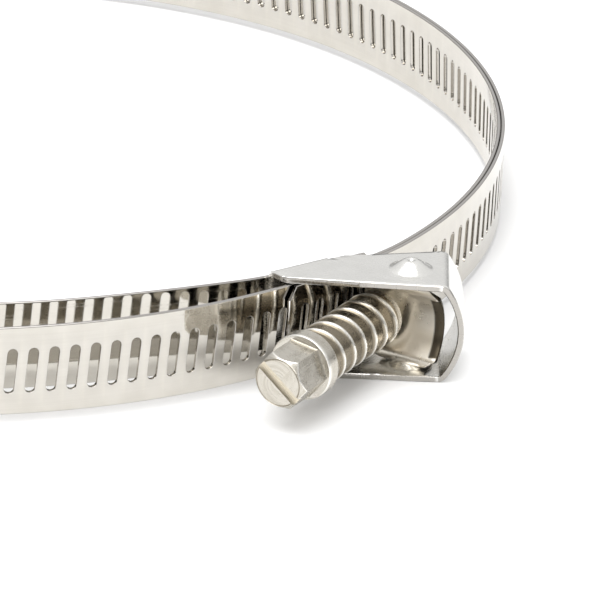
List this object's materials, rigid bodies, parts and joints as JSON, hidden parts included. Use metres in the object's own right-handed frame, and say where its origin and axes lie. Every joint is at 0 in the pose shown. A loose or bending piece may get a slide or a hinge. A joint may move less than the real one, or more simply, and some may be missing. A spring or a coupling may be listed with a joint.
{
  "type": "quick-release worm-drive duct clamp",
  "caption": "Stainless worm-drive clamp for round ducts: a slotted strip wound twice through a channel housing, and a slotted hex screw on a swivel that swings out for release.",
  "frame": {"origin": "centre of the clamped duct, at half the strip's width", "axes": "+Z along the duct's axis; the housing lies on the -Y side with its base wall parallel to X"},
  "size_m": [0.1905, 0.2102, 0.0181],
  "materials": {
    "strip_steel": "rolled stainless strip, near mirror",
    "housing_steel": "pressed stainless sheet, satin",
    "swivel_steel": "pressed stainless sheet, smooth, slightly heat tinted",
    "screw_steel": "turned and rolled stainless screw, dull with bright crests"
  },
  "bodies": {
    "clamp": {"band_strip": "strip_steel", "housing": "housing_steel"},
    "swivel": {"swivel_bracket": "swivel_steel"},
    "screw": {"worm_screw": "screw_steel"}
  },
  "joints": [
    {"name": "swivel_swing", "type": "hinge", "parent": "clamp", "child": "swivel", "pos_m": [0.0205, -0.1038, 0], "axis": [0, 0, 1], "range_deg": [-5, 20]},
    {"name": "screw_spin", "type": "hinge", "parent": "swivel", "child": "screw", "pos_m": [0.01864, -0.09981, 0], "axis": [0.9063, 0.4226, 0], "continuous": true}
  ]
}
